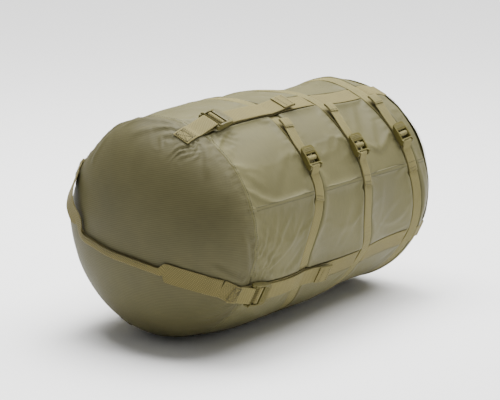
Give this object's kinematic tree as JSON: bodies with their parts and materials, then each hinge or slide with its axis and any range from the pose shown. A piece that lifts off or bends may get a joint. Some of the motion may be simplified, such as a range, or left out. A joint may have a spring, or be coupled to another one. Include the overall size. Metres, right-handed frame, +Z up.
{
  "type": "stuff sack",
  "caption": "Olive compression stuff sack lying on its side: domed base, webbing straps with ladder locks, girth straps, lid over a drawn-in mouth, carry handle.",
  "frame": {"origin": "centre of the sack's footprint on the ground, under the middle of its box", "axes": "+X along the sack's axis from the domed base to the mouth, +Z up as it lies, -Y the side with the girth buckles"},
  "size_m": [0.5914, 0.3564, 0.3472],
  "materials": {
    "side_fabric": "tightly woven nylon taffeta with a soft sheen, olive",
    "base_fabric": "tightly woven nylon with a fine rib, olive",
    "strap_webbing": "flat nylon webbing, tan olive, visible weave",
    "girth_webbing": "narrow flat nylon webbing, tan olive",
    "handle_webbing": "flat nylon webbing, tan olive, folded and stitched grip",
    "buckle_plastic": "moulded acetal, olive, fine matte texture"
  },
  "bodies": {
    "sack": {"base_panel": "base_fabric", "side_panel_upper": "side_fabric", "side_panel_lower": "side_fabric", "mouth_collar": "side_fabric", "strap_anchor_a": "strap_webbing", "strap_anchor_b": "strap_webbing", "strap_anchor_c": "strap_webbing", "strap_anchor_d": "strap_webbing", "long_strap_a": "strap_webbing", "long_strap_b": "strap_webbing", "long_strap_c": "strap_webbing", "long_strap_d": "strap_webbing", "long_tail_a": "strap_webbing", "long_tail_b": "strap_webbing", "long_tail_c": "strap_webbing", "long_tail_d": "strap_webbing", "girth_strap_1": "girth_webbing", "girth_strap_2": "girth_webbing", "girth_strap_3": "girth_webbing", "girth_tail_1": "girth_webbing", "girth_tail_2": "girth_webbing", "girth_tail_3": "girth_webbing", "handle_patch_b": "handle_webbing", "handle_patch_d": "handle_webbing"},
    "lid": {"lid_panel": "side_fabric", "lid_strap_a": "strap_webbing", "lid_strap_b": "strap_webbing", "lid_strap_c": "strap_webbing", "lid_strap_d": "strap_webbing"},
    "handle": {"handle_end_b": "handle_webbing", "handle_web_b": "handle_webbing", "handle_grip": "handle_webbing", "handle_web_d": "handle_webbing", "handle_end_d": "handle_webbing"},
    "buckle_a": {"lock_a": "buckle_plastic", "lock_loop_a": "strap_webbing"},
    "buckle_b": {"lock_b": "buckle_plastic", "lock_loop_b": "strap_webbing"},
    "buckle_c": {"lock_c": "buckle_plastic", "lock_loop_c": "strap_webbing"},
    "buckle_d": {"lock_d": "buckle_plastic", "lock_loop_d": "strap_webbing"},
    "girth_buckle_1": {"girth_lock_1": "buckle_plastic", "girth_loop_1": "girth_webbing"},
    "girth_buckle_2": {"girth_lock_2": "buckle_plastic", "girth_loop_2": "girth_webbing"},
    "girth_buckle_3": {"girth_lock_3": "buckle_plastic", "girth_loop_3": "girth_webbing"}
  },
  "joints": [
    {"name": "lid_lift", "type": "slide", "parent": "sack", "child": "lid", "axis": [1, 0, 0], "range_m": [0, 0.09]},
    {"name": "handle_swing", "type": "hinge", "parent": "sack", "child": "handle", "pos_m": [-0.25484, -0.00766, 0.18687], "axis": [0, 0.9243, 0.3817], "range_deg": [0, 55], "deforming": ["handle_end_b", "handle_end_d"]},
    {"name": "buckle_a_tilt", "type": "hinge", "parent": "sack", "child": "buckle_a", "pos_m": [-0.17333, -0.06531, 0.33329], "axis": [-0.0016, -0.9329, -0.3601], "range_deg": [0, 38], "stiffness_Nm_per_rad": 0.02, "springref_deg": -28.65},
    {"name": "buckle_b_tilt", "type": "hinge", "parent": "sack", "child": "buckle_b", "pos_m": [-0.1932, -0.15616, 0.09255], "axis": [0.0031, 0.4613, -0.8872], "range_deg": [0, 38], "stiffness_Nm_per_rad": 0.02, "springref_deg": -28.65},
    {"name": "buckle_c_tilt", "type": "hinge", "parent": "sack", "child": "buckle_c", "pos_m": [-0.17891, 0.06741, 0.01481], "axis": [-0.0019, 0.9233, 0.3841], "range_deg": [0, 38], "stiffness_Nm_per_rad": 0.02, "springref_deg": -28.65},
    {"name": "buckle_d_tilt", "type": "hinge", "parent": "sack", "child": "buckle_d", "pos_m": [-0.1759, 0.15886, 0.25004], "axis": [0.0021, -0.4613, 0.8872], "range_deg": [0, 38], "stiffness_Nm_per_rad": 0.02, "springref_deg": -28.65},
    {"name": "girth_buckle_1_tilt", "type": "hinge", "parent": "sack", "child": "girth_buckle_1", "pos_m": [-0.04242, -0.15866, 0.25712], "axis": [0.9999, 0.0084, 0.0124], "range_deg": [0, 38], "stiffness_Nm_per_rad": 0.015, "springref_deg": -28.65},
    {"name": "girth_buckle_2_tilt", "type": "hinge", "parent": "sack", "child": "girth_buckle_2", "pos_m": [0.08149, -0.15678, 0.2561], "axis": [0.9999, 0.0061, 0.0091], "range_deg": [0, 38], "stiffness_Nm_per_rad": 0.015, "springref_deg": -28.65},
    {"name": "girth_buckle_3_tilt", "type": "hinge", "parent": "sack", "child": "girth_buckle_3", "pos_m": [0.2097, -0.15057, 0.25274], "axis": [0.9965, 0.047, 0.0696], "range_deg": [0, 38], "stiffness_Nm_per_rad": 0.015, "springref_deg": -28.65}
  ]
}
